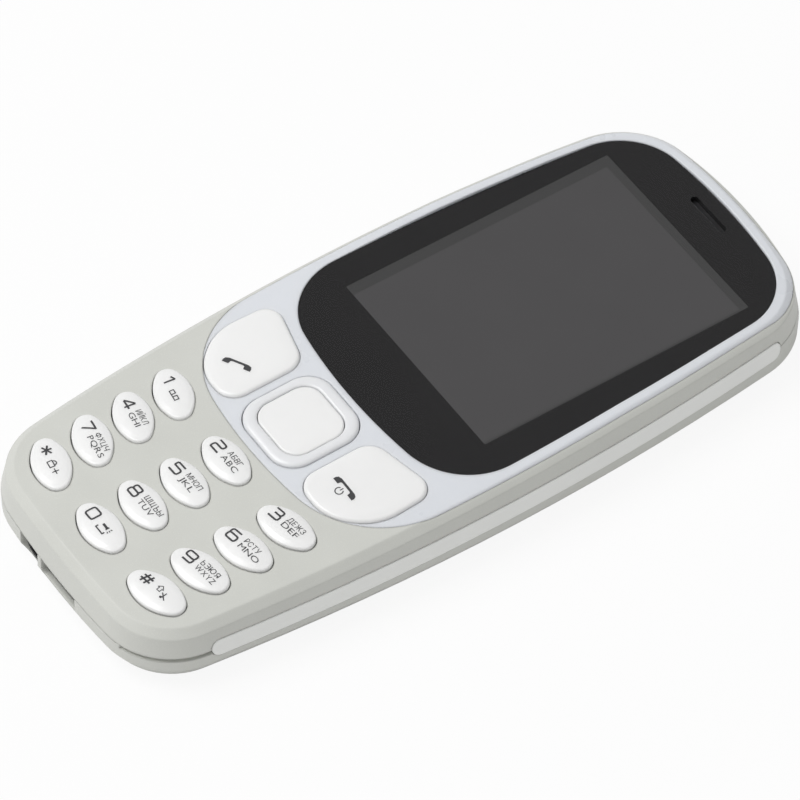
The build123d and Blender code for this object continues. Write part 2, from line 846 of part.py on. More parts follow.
def headphone_jack():
    """The headphone socket: a body under the board and a nose that reaches into the cover's notch."""
    body_y = port_face_y + jack_nose_depth
    low = jack_z - jack_nose_radius
    body = block(jack_body_width, jack_body_length, low, board_z, jack_x, body_y + jack_body_length / 2)
    upright = Plane.XZ.offset(-port_face_y) * Pos(jack_x, jack_z)
    shoulders = Rectangle(2 * jack_nose_radius, jack_nose_radius)
    nose = Circle(jack_nose_radius) + Pos(0, jack_nose_radius / 2) * shoulders
    nose = extrude(upright * nose, -jack_nose_depth)
    nose -= block(case_half_width, case_half_length, board_z - guide_gap, ceiling_z, jack_x, port_face_y)
    body += nose
    return body - extrude(upright * Circle(jack_bore_radius), -jack_bore_length)


def battery():
    """The flat rechargeable cell, with its contacts let into one end."""
    cell = block(battery_width, battery_length, battery_z, battery_z + battery_thick, 0, battery_centre_y)
    cell = cell.chamfer(battery_corner, None, cell.edges().filter_by(Axis.Z))
    return cell - battery_contacts()


def battery_contacts():
    """Three flat contacts in the end of the cell."""
    pads = [
        block(
            battery_contact_width,
            battery_contact_depth,
            battery_z + battery_thick / 4,
            battery_z + battery_thick * 3 / 4,
            place * battery_contact_pitch,
            battery_end_y - battery_contact_depth / 2,
        )
        for place in (-1, 0, 1)
    ]
    return Part() + pads


def battery_connector():
    """The block that carries the battery's spring blades."""
    body = block(connector_width, connector_length, board_z - connector_height, board_z, 0, connector_y)
    return body - connector_blades()


def connector_blades():
    """Three blades that bear on the battery's contacts."""
    front_y = battery_end_y + edge_gap
    back_y = connector_y
    blades = [
        block(
            blade_width,
            back_y - front_y,
            battery_z + battery_thick / 3,
            battery_z + battery_thick / 3 + blade_thick,
            place * battery_contact_pitch,
            (front_y + back_y) / 2,
        )
        for place in (-1, 0, 1)
    ]
    return Part() + blades


def card_holder(width, length, height, x):
    """A low metal cage under the board, open at the end where its card slides in."""
    low = board_z - height
    cage = block(width, length, low, board_z, x, card_row_y)
    slot = block(width - 2 * sim_wall, length, low + sim_wall, board_z - sim_wall, x, card_row_y + sim_wall)
    return cage - slot


def camera_module():
    """The camera: a square body and a round barrel over its window."""
    low = board_z - camera_body_height
    camera = block(camera_width, camera_width, low, board_z, camera_x, camera_y)
    barrel_low = camera_window_z + camera_window_thick + camera_barrel_gap
    return camera + drum(camera_barrel_radius, barrel_low, low, camera_x, camera_y)


def camera_ring():
    """The trim ring round the camera window."""
    ring = drum(camera_ring_radius, camera_window_z / 2, cover_wall, camera_x, camera_y, fair_sides)
    return ring - drum(camera_window_radius, -overrun, ceiling_z, camera_x, camera_y, fair_sides)


def camera_window():
    """The clear disc over the camera."""
    high = camera_window_z + camera_window_thick
    return drum(camera_window_radius, camera_window_z, high, camera_x, camera_y, fair_sides)


def torch_lens():
    """The clear plug over the torch lamp."""
    return drum(torch_radius, torch_lens_depth, cover_wall + torch_lens_depth, torch_x, camera_y, fair_sides)


def torch_lamp():
    """The torch lamp on the board."""
    return block(torch_led_width, torch_led_width, board_z - torch_led_height, board_z, torch_x, camera_y)


def loudspeaker():
    """The ringer loudspeaker, in its pocket under the frame plate."""
    low = frame_plate_z - speaker_thick
    return block(speaker_width, speaker_length, low, frame_plate_z, speaker_x, speaker_y)


def vibration_motor():
    """The coin motor under the frame plate."""
    return drum(motor_radius, frame_plate_z - motor_thick, frame_plate_z, motor_x, motor_y)


def microphone():
    """The round microphone on the board by the bottom end."""
    return drum(microphone_radius, board_z - microphone_height, board_z, microphone_x, microphone_y)


def earpiece_receiver():
    """The call speaker, between the board and its mesh."""
    high = lens_seat_z - mesh_thick
    return block(receiver_width, receiver_length, board_top_z, high, 0, earpiece_y)


def earpiece_mesh():
    """The dust mesh behind the earpiece slot."""
    width = earpiece_slot_length + 2 * mesh_border
    length = earpiece_slot_width + 2 * mesh_border
    return block(width, length, lens_seat_z - mesh_thick, lens_seat_z, 0, earpiece_y)


def antenna():
    """The antenna block under the frame plate, with the slot between its two arms."""
    low = frame_plate_z - antenna_height
    carrier = block(antenna_width, antenna_length, low, frame_plate_z, antenna_x, antenna_y)
    slot_x = antenna_x + antenna_slot
    slot_y = antenna_y + antenna_slot
    return carrier - block(antenna_width, antenna_slot, 0, low + antenna_height / 2, slot_x, slot_y)


nodes = {
    "rear_cover": rear_cover,
    "camera_ring": camera_ring,
    "camera_window": camera_window,
    "torch_lens": torch_lens,
    "front_housing": front_housing,
    "front_panel": front_panel,
    "display_lens": display_lens,
    "side_strip_left": lambda: side_strip(-1),
    "side_strip_right": lambda: side_strip(1),
    "display_gasket": display_gasket,
    "display_frame": display_frame,
    "display_glass": display_glass,
    "mid_frame": mid_frame,
    "frame_screws": frame_screws,
    "main_board": main_board,
    "radio_can": lambda: shield_can(radio_can_width, radio_can_length, radio_can_y),
    "processor_can": lambda: shield_can(processor_can_width, processor_can_length, processor_can_y),
    "key_mat": key_mat,
    "dome_sheet": dome_sheet,
    "earpiece_receiver": earpiece_receiver,
    "earpiece_mesh": earpiece_mesh,
    "loudspeaker": loudspeaker,
    "microphone": microphone,
    "vibration_motor": vibration_motor,
    "antenna": antenna,
    "camera_module": camera_module,
    "torch_lamp": torch_lamp,
    "usb_socket": usb_socket,
    "headphone_jack": headphone_jack,
    "sim_holder_left": lambda: card_holder(sim_width, sim_length, sim_height, -sim_x),
    "sim_holder_right": lambda: card_holder(sim_width, sim_length, sim_height, sim_x),
    "memory_card_holder": lambda: card_holder(memory_width, memory_length, memory_height, 0),
    "battery_connector": battery_connector,
    "connector_blades": connector_blades,
    "battery": battery,
    "battery_contacts": battery_contacts,
    "rocker_pad": rocker_pad,
    "direction_ring": direction_ring,
    "centre_key": centre_key,
    "call_key": lambda: petal_key(-1),
    "end_key": lambda: petal_key(1),
}
key_names = [("1", "2", "3"), ("4", "5", "6"), ("7", "8", "9"), ("star", "0", "hash")]
for row, names in enumerate(key_names):
    for column, name in zip(key_columns, names):
        nodes[f"key_{name}"] = lambda row=row, column=column: digit_key(row, column)

os.makedirs("parts", exist_ok=True)
for node, make in nodes.items():
    export_step(make(), f"parts/{node}.step")
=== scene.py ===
"""Looks of a bar feature phone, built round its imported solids.

Sizes are written in millimetres, as the solids have them, and MM turns them into metres. The studio's are
written in metres.
"""

import math

import bpy
from mathutils import Matrix, Vector


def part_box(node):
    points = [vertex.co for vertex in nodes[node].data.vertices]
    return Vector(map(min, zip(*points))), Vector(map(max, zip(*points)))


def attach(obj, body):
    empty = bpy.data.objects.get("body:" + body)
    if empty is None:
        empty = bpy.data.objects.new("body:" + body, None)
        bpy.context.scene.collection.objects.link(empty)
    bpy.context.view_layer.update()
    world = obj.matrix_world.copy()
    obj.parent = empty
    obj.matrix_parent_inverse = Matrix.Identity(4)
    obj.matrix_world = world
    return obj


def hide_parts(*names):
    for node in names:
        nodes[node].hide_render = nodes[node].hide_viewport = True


MM = 0.001
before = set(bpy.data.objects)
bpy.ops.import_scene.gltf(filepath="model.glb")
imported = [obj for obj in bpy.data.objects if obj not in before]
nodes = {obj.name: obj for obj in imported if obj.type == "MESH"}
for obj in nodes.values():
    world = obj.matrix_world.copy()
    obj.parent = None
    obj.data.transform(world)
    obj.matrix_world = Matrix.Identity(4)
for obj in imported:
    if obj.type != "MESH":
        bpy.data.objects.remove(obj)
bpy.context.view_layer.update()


# Materials


def srgb(red, green, blue):
    """A colour of 0 to 255 steps, as the shader wants it."""
    steps = [value / 255 for value in (red, green, blue)]
    return tuple(v / 12.92 if v <= 0.04045 else ((v + 0.055) / 1.055) ** 2.4 for v in steps) + (1.0,)


def scaled(colour, share):
    return tuple(min(1.0, value * share) for value in colour[:3]) + (1.0,)


def link(tree, source, target):
    tree.links.new(source, target)


def noise(tree, coords, scale, detail, rough=0.5):
    node = tree.nodes.new("ShaderNodeTexNoise")
    node.inputs["Scale"].default_value = scale
    node.inputs["Detail"].default_value = detail
    node.inputs["Roughness"].default_value = rough
    link(tree, coords, node.inputs["Vector"])
    return node.outputs["Fac"]


def spread(tree, value, low, high, start=0.35, end=0.65):
    """A value mapped from one range, by default that of most noise, into another."""
    node = tree.nodes.new("ShaderNodeMapRange")
    for name, number in (("From Min", start), ("From Max", end), ("To Min", low), ("To Max", high)):
        node.inputs[name].default_value = number
    link(tree, value, node.inputs["Value"])
    return node.outputs["Result"]


def mixed(tree, factor, first, second):
    """Two colours mixed by a factor; each is a socket or a colour."""
    node = tree.nodes.new("ShaderNodeMix")
    node.data_type = "RGBA"
    link(tree, factor, node.inputs["Factor"])
    for socket, colour in ((node.inputs["A"], first), (node.inputs["B"], second)):
        if isinstance(colour, tuple):
            socket.default_value = colour
        else:
            link(tree, colour, socket)
    return node.outputs["Result"]


brush_stretch = (0.06, 1.0, 1.0)
slow_detail = 3.0
fine_detail, fine_rough = 2.0, 0.6
light_mottle_share = 0.5
speckle_share = 1.25
speckle_start, speckle_end = 0.55, 0.75
bevel_samples = 6
rubbed_most = 0.6
rubbed_turn, level_turn = 0.86, 0.99
bump_strength = 0.6
coat_rough = 0.12
glow_reach = 1.2


def finish_material(
    name,
    colour,
    rough=0.45,
    metal=0.0,
    grain=6000.0,
    grain_depth=0.004,
    mottle=0.03,
    mottle_scale=90.0,
    edge=0.25,
    edge_share=1.12,
    rough_spread=0.08,
    coat=0.0,
    specular=0.5,
    alpha=1.0,
    speckle=0.0,
    brushed=False,
    glow=0.0,
):
    """A procedural finish: fine grain, slow colour variation, uneven gloss and rubbed, softened edges."""
    material = bpy.data.materials.new(name)
    material.use_nodes = True
    tree = material.node_tree
    shader = tree.nodes["Principled BSDF"]
    coords = tree.nodes.new("ShaderNodeTexCoord").outputs["Object"]
    if brushed:
        stretch = tree.nodes.new("ShaderNodeMapping")
        stretch.inputs["Scale"].default_value = brush_stretch
        link(tree, coords, stretch.inputs["Vector"])
        coords = stretch.outputs["Vector"]
    slow = noise(tree, coords, mottle_scale, slow_detail)
    fine = noise(tree, coords, grain, fine_detail, fine_rough)
    dark, light = scaled(colour, 1 - mottle), scaled(colour, 1 + mottle * light_mottle_share)
    tone = mixed(tree, spread(tree, slow, 0.0, 1.0), dark, light)
    if speckle:
        spots = spread(tree, fine, 0.0, speckle, speckle_start, speckle_end)
        tone = mixed(tree, spots, tone, scaled(colour, speckle_share))
    bevel = tree.nodes.new("ShaderNodeBevel")
    bevel.samples = bevel_samples
    bevel.inputs["Radius"].default_value = edge * MM
    geometry = tree.nodes.new("ShaderNodeNewGeometry")
    turn = tree.nodes.new("ShaderNodeVectorMath")
    turn.operation = "DOT_PRODUCT"
    link(tree, bevel.outputs["Normal"], turn.inputs[0])
    link(tree, geometry.outputs["Normal"], turn.inputs[1])
    rubbed = spread(tree, turn.outputs["Value"], rubbed_most, 0.0, rubbed_turn, level_turn)
    tone = mixed(tree, rubbed, tone, scaled(colour, edge_share))
    link(tree, tone, shader.inputs["Base Color"])
    gloss = spread(tree, slow, rough - rough_spread / 2, rough + rough_spread / 2)
    link(tree, gloss, shader.inputs["Roughness"])
    bump = tree.nodes.new("ShaderNodeBump")
    bump.inputs["Strength"].default_value = bump_strength
    bump.inputs["Distance"].default_value = grain_depth * MM
    link(tree, fine, bump.inputs["Height"])
    link(tree, bevel.outputs["Normal"], bump.inputs["Normal"])
    link(tree, bump.outputs["Normal"], shader.inputs["Normal"])
    shader.inputs["Metallic"].default_value = metal
    shader.inputs["Specular IOR Level"].default_value = specular
    shader.inputs["Coat Weight"].default_value = coat
    shader.inputs["Coat Roughness"].default_value = coat_rough
    shader.inputs["Alpha"].default_value = alpha
    shader.inputs["Subsurface Weight"].default_value = glow
    shader.inputs["Subsurface Scale"].default_value = glow_reach * MM
    shader.inputs["Subsurface Radius"].default_value = (1.0, 1.0, 1.0)
    material.diffuse_color = colour
    return material


white = {"glow": 0.4, "mottle": 0.012}
film_look = {"grain_depth": 0.0006, "mottle": 0.02, "edge": 0.05, "rough_spread": 0.02}
moulded = {"grain": 3000, "grain_depth": 0.008, "edge": 0.12}

shell = finish_material(
    "shell", srgb(211, 212, 206), 0.42, speckle=0.35, coat=0.15, mottle=0.02, edge=0.5, edge_share=1.04
)
white_panel = finish_material(
    "white_panel", srgb(228, 231, 236), 0.3, coat=0.3, edge=0.55, edge_share=1.05, **white
)
key_white = finish_material(
    "key_white", srgb(249, 249, 248), 0.34, coat=0.25, edge=0.2, edge_share=1.02, **white
)
ring_white = finish_material(
    "ring_white", srgb(238, 239, 241), 0.3, coat=0.3, edge=0.25, edge_share=1.04, **white
)
strip_white = finish_material("strip_white", srgb(249, 250, 247), 0.35, coat=0.2, mottle=0.015, edge=0.2)
print_black = finish_material(
    "print_black", srgb(22, 21, 22), 0.06, grain_depth=0.0006, mottle=0.1, edge=0.08, rough_spread=0.02
)
lens_clear = finish_material(
    "lens_clear", srgb(60, 60, 62), 0.03, grain_depth=0.0004, edge=0.1, rough_spread=0.01, alpha=0.06
)
lcd_grey = finish_material("lcd_grey", srgb(78, 77, 78), 0.08, **film_look)
# Darker grey for the band at the window's left and top edges: painted shade where the window's edge would
# shade a deeper display
lcd_painted_shade = finish_material("lcd_painted_shade", srgb(66, 66, 66), 0.08, **film_look)
lcd_dark = finish_material("lcd_dark", srgb(58, 58, 58), 0.08, **film_look)
chrome = finish_material(
    "chrome", srgb(196, 198, 200), 0.22, metal=1.0, grain=2500, grain_depth=0.002, edge=0.15
)
steel = finish_material(
    "steel", srgb(186, 188, 190), 0.32, metal=1.0, grain=2200, grain_depth=0.004, edge=0.12, brushed=True
)
brass = finish_material(
    "brass", srgb(214, 178, 96), 0.28, metal=1.0, grain=2200, grain_depth=0.003, edge=0.1
)
window_clear = finish_material(
    "window_clear", srgb(34, 34, 38), 0.05, grain_depth=0.0005, edge=0.08, rough_spread=0.02
)
torch_clear = finish_material("torch_clear", srgb(226, 224, 206), 0.12, coat=0.6, edge=0.15)
foam = finish_material(
    "foam", srgb(38, 38, 40), 0.95, grain=3000, grain_depth=0.05, specular=0.2, edge=0.05
)
frame_plastic = finish_material(
    "frame_plastic", srgb(58, 60, 62), 0.6, grain=3500, grain_depth=0.012, edge=0.15
)
silicone = finish_material(
    "silicone", srgb(196, 200, 204), 0.7, grain=2500, grain_depth=0.01, specular=0.35, edge=0.2
)
board_green = finish_material(
    "board_green",
    srgb(24, 84, 52),
    0.35,
    coat=0.4,
    grain=1200,
    grain_depth=0.012,
    mottle=0.16,
    mottle_scale=420,
    edge=0.06,
)
black_plastic = finish_material("black_plastic", srgb(28, 28, 30), 0.5, **moulded)
cream_plastic = finish_material("cream_plastic", srgb(206, 200, 186), 0.5, **moulded)
lamp_yellow = finish_material("lamp_yellow", srgb(232, 214, 96), 0.3, coat=0.5, edge=0.08)
battery_wrap = finish_material(
    "battery_wrap", srgb(206, 208, 212), 0.36, metal=0.35, grain=900, grain_depth=0.006, mottle=0.04, edge=0.3
)
legend_ink = finish_material(
    "legend_ink", srgb(62, 62, 64), 0.55, grain=5000, grain_depth=0.001, mottle=0.08, edge=0.01
)

painted = (
    (shell, "rear_cover front_housing"),
    (white_panel, "front_panel"),
    (key_white, "call_key end_key centre_key"),
    (ring_white, "direction_ring"),
    (strip_white, "side_strip_left side_strip_right"),
    (lens_clear, "display_lens"),
    (lcd_dark, "display_glass"),
    (chrome, "camera_ring"),
    (steel, "display_frame radio_can processor_can usb_socket sim_holder_left sim_holder_right"),
    (steel, "memory_card_holder frame_screws vibration_motor microphone dome_sheet"),
    (brass, "connector_blades battery_contacts"),
    (window_clear, "camera_window"),
    (torch_clear, "torch_lens"),
    (foam, "display_gasket"),
    (frame_plastic, "mid_frame"),
    (silicone, "key_mat rocker_pad"),
    (board_green, "main_board"),
    (black_plastic, "earpiece_receiver earpiece_mesh loudspeaker"),
    (black_plastic, "camera_module headphone_jack battery_connector"),
    (cream_plastic, "antenna"),
    (lamp_yellow, "torch_lamp"),
    (battery_wrap, "battery"),
)
for material, names in painted:
    for name in names.split():
        for place in nodes[name].material_slots:
            place.material = material


# Shapes


def mesh_piece(name, points, faces, material, body, smooth=True):
    """A new piece on a body, from points in metres."""
    mesh = bpy.data.meshes.new(name)
    mesh.from_pydata([tuple(point) for point in points], [], faces)
    mesh.validate()
    mesh.materials.append(material)
    mesh.shade_smooth() if smooth else mesh.shade_flat()
    piece = bpy.data.objects.new(name, mesh)
    bpy.context.scene.collection.objects.link(piece)
    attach(piece, body)
    return piece


def on_circle(centre, radius, angle):
    return Vector((centre[0] + radius * math.cos(angle), centre[1] + radius * math.sin(angle)))


def arc_points(centre, radius, start, end, steps):
    """Points along an arc, without its last one."""
    return [on_circle(centre, radius, start + (end - start) * step / steps) for step in range(steps)]


def rounded(corners, radii, steps=10):
    """Points round a polygon whose corners are arcs."""
    points = []
    for index, corner in enumerate(corners):
        corner = Vector(corner)
        before = (Vector(corners[index - 1]) - corner).normalized()
        after = (Vector(corners[(index + 1) % len(corners)]) - corner).normalized()
        half = before.angle(after) / 2
        middle = corner + (before + after).normalized() * radii[index] / math.sin(half)
        start = corner + before * radii[index] / math.tan(half) - middle
        sweep = math.pi - 2 * half
        for step in range(steps + 1):
            points.append(middle + Matrix.Rotation(sweep * step / steps, 2) @ start)
    return points


def rounded_rectangle(width, length, radius, steps=10):
    x, y = width / 2, length / 2
    return rounded([(x, -y), (x, y), (-x, y), (-x, -y)], [radius] * 4, steps)


key_half_length, key_half_width, key_end_radius = 5.08, 2.90, 1.85
end_arc_steps, side_arc_steps = 12, 20


def key_oval():
    """The oval of a digit key: two end arcs and two side arcs."""
    end_x = key_half_length - key_end_radius
    rise = key_half_width - key_end_radius
    side_radius = (end_x**2 + key_half_width**2 - key_end_radius**2) / (2 * rise)
    side_y = side_radius - key_half_width
    angle = math.atan2(side_y, end_x)
    points = arc_points((end_x, 0), key_end_radius, -angle, angle, end_arc_steps)
    points += arc_points((0, -side_y), side_radius, angle, math.pi - angle, side_arc_steps)
    points += arc_points((-end_x, 0), key_end_radius, math.pi - angle, math.pi + angle, end_arc_steps)
    points += arc_points((0, side_y), side_radius, math.pi + angle, 2 * math.pi - angle, side_arc_steps)
    return points


def drawn_in(points, depth):
    """A ring of points moved in square to itself."""
    count = len(points)
    ring = []
    for index, point in enumerate(points):
        along = points[(index + 1) % count] - points[index - 1]
        inward = Vector((-along.y, along.x)).normalized()
        ring.append(point + inward * depth)
    return ring


def lofted(rings, closed=False):
    """Faces between rings of points, each a list of 3-D points; closed joins the last ring to the first."""
    count = len(rings[0])
    points = [point for ring in rings for point in ring]
    faces = []
    pairs = len(rings) if closed else len(rings) - 1
    for row in range(pairs):
        low, high = row * count, (row + 1) % len(rings) * count
        for index in range(count):
            after = (index + 1) % count
            faces.append((low + index, low + after, high + after, high + index))
    return points, faces


def placed(points, place):
    """Points in a place's own millimetres, turned into metres of the frame."""
    return [place @ (Vector(point) * MM) for point in points]


crown_radius = 324.0
upper_slope, lower_slope = 0.0253, 0.0419
slope_change_y = -45.2
crown_stations = ((-66.2, 12.19), (slope_change_y, 13.07), (22.28, 14.78), (42.0, 14.573), (66.2, 13.589))


def crown_height(x, y):
    """Height of the crowned front over a point."""
    for (low_y, low_z), (high_y, high_z) in zip(crown_stations, crown_stations[1:]):
        if low_y <= y <= high_y:
            middle_z = low_z + (high_z - low_z) * (y - low_y) / (high_y - low_y)
            return middle_z - x * x / (2 * crown_radius)


def seat_on_crown(x, y, rise, turn=0.0):
    """A place over the crowned front at a point, with its Z square to the surface."""
    slope = upper_slope if y > slope_change_y else lower_slope
    normal = Vector((x / crown_radius, -slope, 1)).normalized()
    along = (Vector((1, 0, 0)) - normal * normal.x).normalized()
    turned = Matrix((along, normal.cross(along), normal)).transposed().to_4x4()
    spot = Vector((x, y, crown_height(x, y) + rise))
    return Matrix.Translation(spot * MM) @ turned @ Matrix.Rotation(turn, 4, "Z")


def sunk_to(foot, outline, place):
    """An outline on a place, sunk square to it down to a level foot."""
    upright = (place.to_3x3() @ Vector((0, 0, 1))).z
    starts = [place @ (Vector((point[0], point[1], 0)) * MM) for point in outline]
    return [(point[0], point[1], (foot - start.z / MM) / upright) for point, start in zip(outline, starts)]


rim_steps = 5
dome_shares = (1.0, 0.96, 0.88, 0.76, 0.6, 0.42, 0.24, 0.08)
blend_share = 0.12


def cap_piece(node, outline, place, foot, rim, dome, reach):
    """A key cap: sides down to a level foot, a rounded rim and a top that is domed over its reach.

    It gives back the function for the dome's height, which the key's legend follows.
    """
    half_x, half_y = reach

    def height(x, y):
        return dome * (1 - (x / half_x) ** 2 - (y / half_y) ** 2)

    edge_ring = drawn_in(outline, rim)
    base = min(height(point.x, point.y) for point in edge_ring)
    rings = [sunk_to(foot, outline, place)]
    for step in range(rim_steps):
        angle = step / rim_steps * math.pi / 2
        ring = drawn_in(outline, rim * (1 - math.cos(angle)))
        rings.append([(p.x, p.y, base - rim + rim * math.sin(angle)) for p in ring])
    for share in dome_shares:
        ring = [point * share for point in edge_ring]
        blend = min(1.0, (1 - share) / blend_share)
        rings.append([(p.x, p.y, base + (height(p.x, p.y) - base) * blend) for p in ring])
    points, faces = lofted(rings)
    last = len(points) - len(outline)
    faces += [tuple(range(last, len(points))), tuple(reversed(range(len(outline))))]
    piece = mesh_piece(f"{node}_cap", placed(points, place), faces, key_white, f"{node}_body")
    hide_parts(node)
    return height


def sheet_faces(outline, holes):
    """A flat sheet with holes, as points and faces in the plane."""
    curve = bpy.data.curves.new("sheet", "CURVE")
    curve.dimensions = "2D"
    curve.fill_mode = "BOTH"
    for ring in [outline, *holes]:
        spline = curve.splines.new("POLY")
        spline.points.add(len(ring) - 1)
        for point, spot in zip(spline.points, ring):
            point.co = (spot.x, spot.y, 0, 1)
        spline.use_cyclic_u = True
    return plane_mesh(curve)


def plane_mesh(curve):
    """The filled faces of a flat curve, which is then dropped."""
    holder = bpy.data.objects.new("plane", curve)
    bpy.context.scene.collection.objects.link(holder)
    bpy.context.view_layer.update()
    evaluated = holder.evaluated_get(bpy.context.evaluated_depsgraph_get())
    mesh = bpy.data.meshes.new_from_object(evaluated)
    points = [Vector((vertex.co.x, vertex.co.y)) for vertex in mesh.vertices]
    faces = [tuple(polygon.vertices) for polygon in mesh.polygons]
    bpy.data.objects.remove(holder)
    bpy.data.curves.remove(curve)
    bpy.data.meshes.remove(mesh)
    return points, faces


# Lettering


# The strokes of a sign on a grid: a loop is closed and a line open, both with softened corners, and a
# sharp stroke is one straight run.
STROKES = {
    "0": [("loop", (0, 0), (4, 0), (4, 6), (0, 6))],
    "1": [("sharp", (0.6, 4.7), (2.3, 6)), ("sharp", (2.3, 6), (2.3, 0))],
    "2": [("line", (0, 6), (4, 6), (4, 3.1), (0, 3.1), (0, 0)), ("sharp", (0, 0), (4.2, 0))],
    "3": [
        ("line", (0.2, 6), (4, 6), (4, 3.1), (1.1, 3.1)),
        ("line", (1.1, 3.1), (4.2, 3.1), (4.2, 0), (0, 0)),
    ],
    "4": [("sharp", (3.1, 0), (3.1, 6)), ("sharp", (3.0, 6), (0, 1.7)), ("sharp", (0, 1.7), (4.4, 1.7))],
    "5": [
        ("sharp", (4, 6), (0.1, 6)),
        ("sharp", (0.1, 6), (0.1, 3.5)),
        ("line", (0.1, 3.5), (4.2, 3.5), (4.2, 0), (0, 0)),
    ],
    "6": [("line", (3.8, 6), (0, 6), (0, 3.4)), ("loop", (0, 0), (4.1, 0), (4.1, 3.4), (0, 3.4))],
    "7": [("sharp", (0, 6), (4.2, 6)), ("sharp", (4.1, 6), (1.5, 0))],
    "8": [
        ("loop", (0, 0), (4.1, 0), (4.1, 3.1), (0, 3.1)),
        ("loop", (0.3, 3.1), (3.8, 3.1), (3.8, 6), (0.3, 6)),
    ],
    "9": [("line", (0.3, 0), (4.1, 0), (4.1, 2.6)), ("loop", (0, 2.6), (4.1, 2.6), (4.1, 6), (0, 6))],
    "star": [
        ("sharp", (2, 0.2), (2, 5.6)),
        ("sharp", (0.1, 1.4), (3.9, 4.4)),
        ("sharp", (0.1, 4.4), (3.9, 1.4)),
    ],
    "hash": [
        ("sharp", (0.9, 0), (1.8, 6)),
        ("sharp", (2.6, 0), (3.5, 6)),
        ("sharp", (0, 1.9), (4.2, 1.9)),
        ("sharp", (0.2, 4.1), (4.4, 4.1)),
    ],
}


# Letters that the built-in typeface fills with blobs, drawn with strokes instead
DRAWN_LETTERS = {
    "Ф": [("loop", (0, 1.5), (5, 1.5), (5, 5), (0, 5)), ("sharp", (2.5, 0), (2.5, 6.4))],
    "Ъ": [
        ("sharp", (0, 6), (1.3, 6)),
        ("sharp", (1.3, 6), (1.3, 0)),
        ("line", (1.3, 3.3), (4.6, 3.3), (4.6, 0), (1.3, 0)),
    ],
    "Ы": [
        ("sharp", (0, 6), (0, 0)),
        ("line", (0, 3.3), (3.2, 3.3), (3.2, 0), (0, 0)),
        ("sharp", (4.7, 6), (4.7, 0)),
    ],
    "Ь": [("sharp", (0, 6), (0, 0)), ("line", (0, 3.3), (3.6, 3.3), (3.6, 0), (0, 0))],
    "Э": [("line", (0, 6), (4, 6), (4, 0), (0, 0)), ("sharp", (0.9, 3.1), (4, 3.1))],
}


corner_shares = (0.0, 0.3, 0.5, 0.7, 1.0)
corner_units = 1.35
longest_step = 0.35
least_mitre = 0.5


def softened(points, radius, closed):
    """A run of points whose corners are cut by small curves."""
    count = len(points)
    result = []
    for index, point in enumerate(points):
        if not closed and index in (0, count - 1):
            result.append(point)
            continue
        before = (points[index - 1] - point).normalized()
        after = (points[(index + 1) % count] - point).normalized()
        for share in corner_shares:
            start, end = point + before * radius, point + after * radius
            result.append(start * (1 - share) ** 2 + point * 2 * share * (1 - share) + end * share**2)
    return result


def divided(points, closed):
    """A run of points with more between those that lie far apart, so that it can follow a dome."""
    ends = points[1:] + points[:1] if closed else points[1:]
    result = []
    for start, end in zip(points, ends):
        parts = math.ceil((end - start).length / longest_step)
        result += [start.lerp(end, part / parts) for part in range(parts)]
    return result if closed else result + points[-1:]


def ribbon(points, width, closed):
    """Points and faces of a flat stroke along a run of points."""
    points = divided(points, closed)
    count = len(points)
    left, right = [], []
    for index, point in enumerate(points):
        before = points[index - 1] if closed or index else None
        after = points[(index + 1) % count] if closed or index < count - 1 else None
        ways = [(point - before).normalized()] if before is not None else []
        ways += [(after - point).normalized()] if after is not None else []
        along = sum(ways, Vector((0, 0))).normalized()
        square = Vector((-along.y, along.x))
        stretch = 1 / max(least_mitre, square.dot(Vector((-ways[0].y, ways[0].x))))
        left.append(point + square * width / 2 * stretch)
        right.append(point - square * width / 2 * stretch)
    faces = []
    for index in range(count if closed else count - 1):
        after = (index + 1) % count
        faces.append((index, count + index, count + after, after))
    return left + right, faces


def gathered(parts):
    """Several lists of points and faces as one."""
    points, faces = [], []
    for some_points, some_faces in parts:
        start = len(points)
        points += some_points
        faces += [tuple(start + index for index in face) for face in some_faces]
    return points, faces


def glyph(strokes, at, unit, width):
    """A sign drawn with strokes on a grid of units, with its lower left corner at a point."""
    parts = []
    for kind, *grid in strokes:
        run = [Vector((at[0] + x * unit[0], at[1] + y * unit[1])) for x, y in grid]
        if kind != "sharp":
            run = softened(run, corner_units * unit[1], kind == "loop")
        parts.append(ribbon(run, width, kind == "loop"))
    return gathered(parts)


letter_gap_share = 0.12
drawn_unit_shares = (0.12, 0.117)
drawn_stroke_share = 0.09
letter_resolution = 6


def letter_faces(letter, size):
    """The points and faces of one letter."""
    if letter in DRAWN_LETTERS:
        unit = (drawn_unit_shares[0] * size, drawn_unit_shares[1] * size)
        return glyph(DRAWN_LETTERS[letter], (0, 0), unit, drawn_stroke_share * size)
    curve = bpy.data.curves.new("words", "FONT")
    curve.body = letter
    curve.size = size
    curve.resolution_u = letter_resolution
    return plane_mesh(curve)


def words(text, at, size, width):
    """Flat lettering that fills a width from a point on, as points and faces in the plane."""
    parts = []
    reach = 0.0
    for letter in text:
        points, faces = letter_faces(letter, size)
        start = min(point.x for point in points)
        parts.append(([point + Vector((reach - start, 0)) for point in points], faces))
        reach += max(point.x for point in points) - start + letter_gap_share * size
    points, faces = gathered(parts)
    stretch = width / (reach - letter_gap_share * size)
    return [Vector((at[0] + point.x * stretch, at[1] + point.y)) for point in points], faces


legend_lift = 0.03


def legend_piece(node, parts, place, height, turn=0.0):
    """Printed signs laid on a key's cap, following its dome."""
    points, faces = gathered(parts)
    laid = []
    for point in points:
        spot = Matrix.Rotation(turn, 2) @ point
        laid.append((spot.x, spot.y, height(spot.x, spot.y) + legend_lift))
    laid = placed(laid, place)
    mesh_piece(f"{node}_legend", laid, faces, legend_ink, f"{node}_body", smooth=False)


# Digit keys

